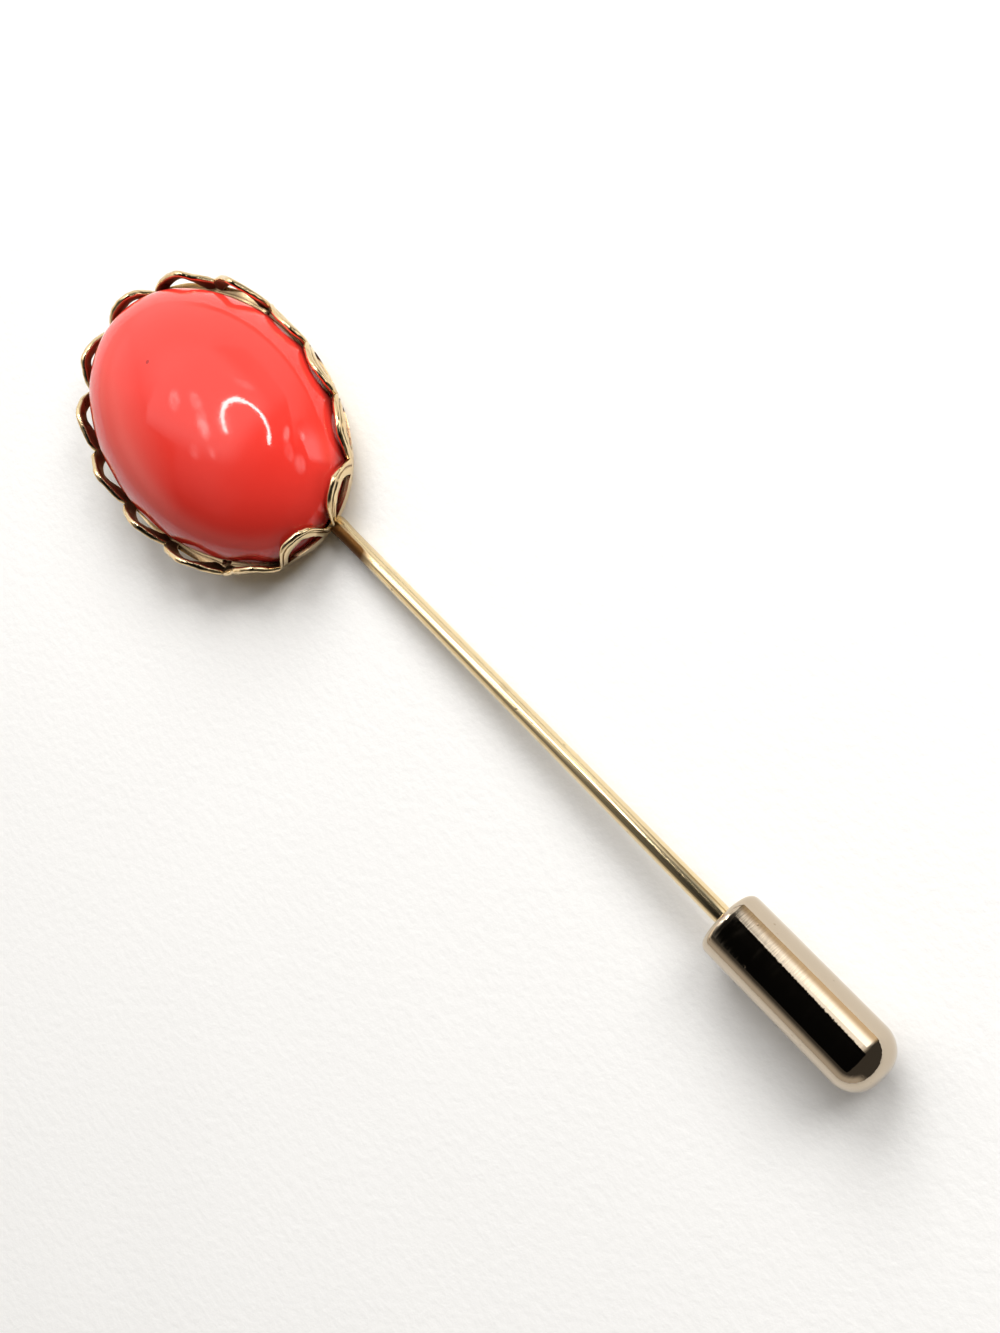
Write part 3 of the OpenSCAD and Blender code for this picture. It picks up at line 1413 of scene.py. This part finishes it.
    def _strip_tone(self, recipe: Recipe) -> dict:
        """Sockets of the lit strip: brightest beside the clutch and at the top, warm below.

        Args:
            recipe: The strip's recipe.

        Returns:
            The sockets by name.
        """
        x, _, z = recipe.split(recipe.place())
        share = x.eased(-0.003, 0.020) * (1 - x.eased(0.034, 0.046))
        tone = recipe.blend(z.eased(0.008, 0.035), (1.0, 0.80, 0.55), (1.0, 0.99, 0.97))
        return {"Color": tone, "Strength": 0.15 + share * (0.85 + 1.5 * z.eased(0.012, 0.040))}

    def _plate(self) -> None:
        """Hangs the dark plate that the clutch mirrors, just above the camera."""
        bm = bmesh.new()
        corners = [Vector((x, y, self.plate_level)) for x, y in self.plate_corners]
        bmesh.ops.contextual_create(bm, geom=outline(bm, corners, True))
        self._hang(bm, "dark_plate", self._glow("plate_black", self._plate_tone))

    def _strip(self) -> None:
        """Hangs the lit strip that the clutch mirrors as its white line."""
        bm = bmesh.new()
        place = Matrix.Translation(self.strip_place) @ Matrix.Diagonal((*self.strip_size, 1))
        bmesh.ops.create_cube(bm, size=1, matrix=place)
        self._hang(bm, "lit_strip", self._glow("strip_white", self._strip_tone))

    def _sky(self) -> None:
        """Paints the room: pale on the far side of the head, dark and warmer elsewhere.

        Low down it has brighter parts that polished surfaces alone see.
        """
        world = bpy.data.worlds.new("room")
        world.use_nodes = True
        bpy.context.scene.world = world
        recipe = Recipe(world.node_tree)
        way = recipe.add("ShaderNodeTexCoord", {}, {}).outputs["Generated"]
        x, y, z = recipe.split(Value(recipe, way))
        room = (0.50 * y - 0.70 * x + 0.51 * z).eased(0.40, 0.85)
        low = (0.1 * z - 0.8 * x - 0.45 * y).eased(0.65, 0.90)
        table = (0 - y).eased(0.3, 0.7) * (1 - z.eased(0.20, 0.55))
        skirt = y.eased(0.3, 0.6) * (1 - z.eased(0.07, 0.13))
        mirrored = Value(recipe, recipe.add("ShaderNodeLightPath", {}, {}).outputs["Is Glossy Ray"])
        glare = 0.3 + 0.75 * z.eased(0.12, 0.38) + 0.6 * (0 - x).eased(0.75, 0.95)
        low = mirrored * low * glare.at_most(1.15)
        bright = (room * (1.0 + 0.5 * z.eased(0.5, 0.75))).at_least(low) * (1 - 0.7 * skirt)
        bright = 0.06 + bright + 0.5 * mirrored * table
        tone = recipe.blend(skirt.at_least(1 - room), (1.0, 0.99, 0.97), (1.0, 0.90, 0.78))
        sky = recipe.add("ShaderNodeBackground", {}, {"Color": tone, "Strength": bright})
        recipe.add("ShaderNodeOutputWorld", {}, {"Surface": Value(recipe, sky.outputs[0])})

    def _glints(self) -> None:
        """Hangs the faint patches of light that only the stone's polish shows."""
        for number, glint in enumerate(self.glints, 1):
            bm = bmesh.new()
            bm.loops.layers.uv.new("spread")
            bmesh.ops.create_circle(bm, cap_ends=True, radius=1, segments=32, calc_uvs=True)
            columns = [(*c, 0) for c in (glint.half_length, glint.half_width, (0, 0, 1))]
            place = Matrix([*columns, (*glint.place, 1)]).transposed()
            bmesh.ops.transform(bm, matrix=place, verts=bm.verts[:])
            self._hang(bm, f"glint_{number}", self._haze(f"haze_{number}", glint))

    def _haze(self, name: str, glint: Glint) -> bpy.types.Material:
        """A see-through glow that fades towards its edge.

        Args:
            name: The material's name.
            glint: The patch that it lights.

        Returns:
            The material.
        """
        haze = bpy.data.materials.new(name)
        haze.use_nodes = True
        recipe = Recipe(haze.node_tree)
        spread = recipe.add("ShaderNodeTexCoord", {}, {}).outputs["UV"]
        across, along, _ = recipe.split(Value(recipe, spread))
        out = ((across - 0.5) ** 2 + (along - 0.5) ** 2) * 4
        patchy = recipe.mottle(recipe.place(), 260, 3, 0.6).eased(0.30, 0.62)
        strength = (1 - out.eased(0.0, 1.0)) * (0.35 + 0.9 * patchy) * glint.brightness
        sockets = {"Color": (1, 0.98, 0.95, 1), "Strength": strength}
        lamp = recipe.add("ShaderNodeEmission", {}, sockets)
        clear = recipe.add("ShaderNodeBsdfTransparent", {}, {})
        both = {0: Value(recipe, lamp.outputs[0]), 1: Value(recipe, clear.outputs[0])}
        summed = recipe.add("ShaderNodeAddShader", {}, both)
        recipe.add("ShaderNodeOutputMaterial", {}, {"Surface": Value(recipe, summed.outputs[0])})
        return haze


def main() -> None:
    """Builds the pin and its studio, and reports each piece."""
    logging.basicConfig(level=logging.INFO, format="%(name)s: %(message)s")
    # Without a seed of its own the noise differs from run to run
    noise.seed_set(NOISE_SEED)
    oval = Oval()
    warm = PlatedMetal(
        "gold_setting",
        bright=(0.79, 0.61, 0.36),
        dull=(0.12, 0.055, 0.025),
        grain=Grain.STAMPED,
        gloss=0.10,
        wear=0.5,
    )
    drawn = PlatedMetal(
        "gold_wire",
        bright=(0.84, 0.68, 0.41),
        dull=(0.11, 0.05, 0.015),
        grain=Grain.DRAWN,
        lift=Stick.lift,
        gloss=0.15,
    )
    pale = PlatedMetal(
        "pale_gold_cap",
        bright=(0.57, 0.48, 0.37),
        dull=(0.34, 0.24, 0.16),
        grain=Grain.TURNED,
        lift=Stick.lift,
        gloss=0.03,
        wear=0.15,
    )
    Cabochon(oval, CoralGloss()).build()
    Setting(oval, warm, Unevenness()).build()
    stick = Stick(drawn)
    stick.build()
    Clutch(pale, stick).build()
    PhotoCamera().build()
    far = KeyLight("far_key", (-0.54, 0.61, 0.58), 5.9, size=0.233, distance=0.35)
    side = KeyLight("side_key", (0.15, 0.81, 0.57), 9.3, size=0.133, distance=0.30)
    Studio(PaleSheet(), (far, side)).build()


if __name__ == "__main__":
    main()
